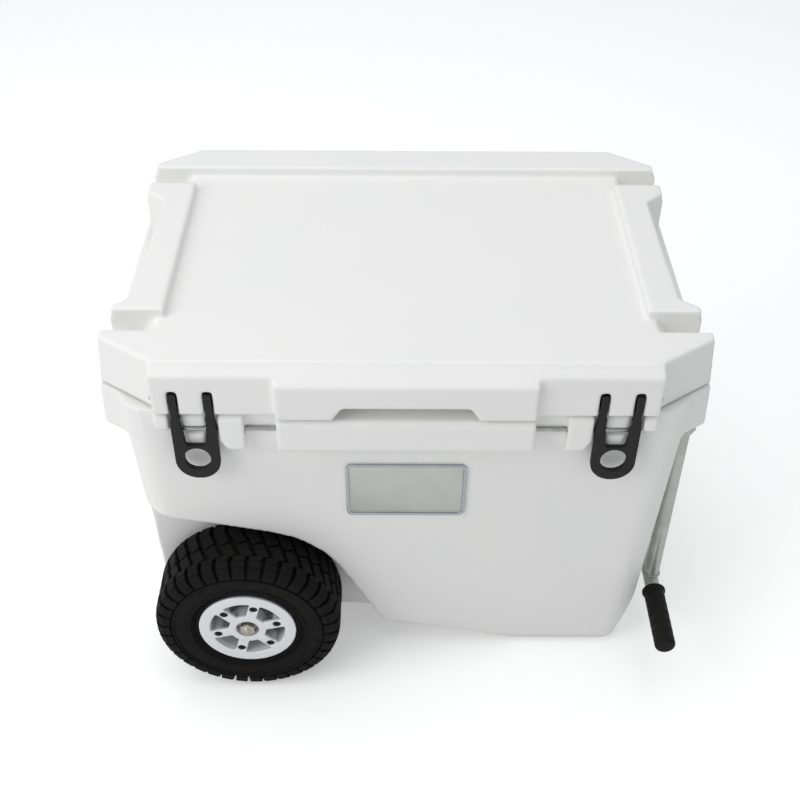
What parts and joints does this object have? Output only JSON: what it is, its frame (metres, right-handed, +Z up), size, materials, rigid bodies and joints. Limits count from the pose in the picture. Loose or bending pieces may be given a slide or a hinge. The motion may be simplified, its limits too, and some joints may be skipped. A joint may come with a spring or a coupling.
{
  "type": "wheeled hard cooler",
  "caption": "Foam-filled hard cooler with a hinged lid, rubber latches, knobby wheels at one end and a swing-down tow handle at the other.",
  "frame": {"origin": "on the ground under the middle of the cooler", "axes": "+X from the wheel end to the tow handle end, +Y from the latch side to the hinge side, +Z up"},
  "size_m": [0.684, 0.524, 0.519],
  "materials": {
    "white_polyethylene": "satin",
    "insulating_foam": "matte",
    "black_latch_rubber": "matte",
    "stainless_steel": "satin",
    "zinc_plated_steel": "satin",
    "silver_handle_tube": "satin",
    "silver_painted_rim": "satin",
    "chrome_badge_frame": "polished",
    "brushed_badge_plate": "satin",
    "tyre_rubber": "matte",
    "grip_rubber": "matte",
    "seal_rubber": "matte",
    "black_nylon": "matte"
  },
  "bodies": {
    "tub": {"tub_shell": "white_polyethylene", "tub_foam": "insulating_foam", "keeper_rods": "stainless_steel", "badge_frame": "chrome_badge_frame", "badge_plate": "brushed_badge_plate", "drain_bush": "black_nylon", "drain_washer": "seal_rubber", "handle_brackets": "silver_handle_tube", "bracket_screws": "stainless_steel", "handle_pivot_bolts": "stainless_steel", "pivot_lock_nuts": "stainless_steel", "axle": "zinc_plated_steel", "axle_washers": "zinc_plated_steel", "axle_nuts": "zinc_plated_steel", "hinge_rods": "stainless_steel"},
    "lid": {"lid_shell": "white_polyethylene", "lid_foam": "insulating_foam", "lid_gasket": "seal_rubber", "latch_pins": "stainless_steel"},
    "latch_left": {"latch_left": "black_latch_rubber"},
    "latch_right": {"latch_right": "black_latch_rubber"},
    "tow_handle": {"handle_frame": "silver_handle_tube", "handle_bushes": "black_nylon", "grip_front": "grip_rubber", "grip_rear": "grip_rubber"},
    "wheel_front": {"tyre_front": "tyre_rubber", "inner_tube_front": "seal_rubber", "rim_face_front": "silver_painted_rim", "rim_back_front": "silver_painted_rim", "rim_bolts_front": "zinc_plated_steel", "rim_nuts_front": "zinc_plated_steel", "bearings_front": "stainless_steel", "hub_spacer_front": "stainless_steel"},
    "wheel_rear": {"tyre_rear": "tyre_rubber", "inner_tube_rear": "seal_rubber", "rim_face_rear": "silver_painted_rim", "rim_back_rear": "silver_painted_rim", "rim_bolts_rear": "zinc_plated_steel", "rim_nuts_rear": "zinc_plated_steel", "bearings_rear": "stainless_steel", "hub_spacer_rear": "stainless_steel"},
    "drain_plug": {"drain_plug": "black_nylon"}
  },
  "joints": [
    {"name": "lid_hinge", "type": "hinge", "parent": "tub", "child": "lid", "pos_m": [0, 0.232, 0.441], "axis": [-1, 0, 0], "range_deg": [0, 105]},
    {"name": "latch_left_pivot", "type": "hinge", "parent": "lid", "child": "latch_left", "pos_m": [-0.229, -0.22, 0.461], "axis": [-1, 0, 0], "range_deg": [0, 90]},
    {"name": "latch_right_pivot", "type": "hinge", "parent": "lid", "child": "latch_right", "pos_m": [0.229, -0.22, 0.461], "axis": [-1, 0, 0], "range_deg": [0, 90]},
    {"name": "tow_handle_pivot", "type": "hinge", "parent": "tub", "child": "tow_handle", "pos_m": [0.327, 0, 0.364], "axis": [0, -1, 0], "range_deg": [0, 115]},
    {"name": "wheel_front_spin", "type": "hinge", "parent": "tub", "child": "wheel_front", "pos_m": [-0.193, -0.215, 0.1143], "axis": [0, 1, 0], "continuous": true},
    {"name": "wheel_rear_spin", "type": "hinge", "parent": "tub", "child": "wheel_rear", "pos_m": [-0.193, 0.215, 0.1143], "axis": [0, 1, 0], "continuous": true},
    {"name": "drain_plug_turn", "type": "hinge", "parent": "tub", "child": "drain_plug", "pos_m": [0.205, 0.19, 0.074], "axis": [0, 1, 0], "range_deg": [0, 360]}
  ]
}
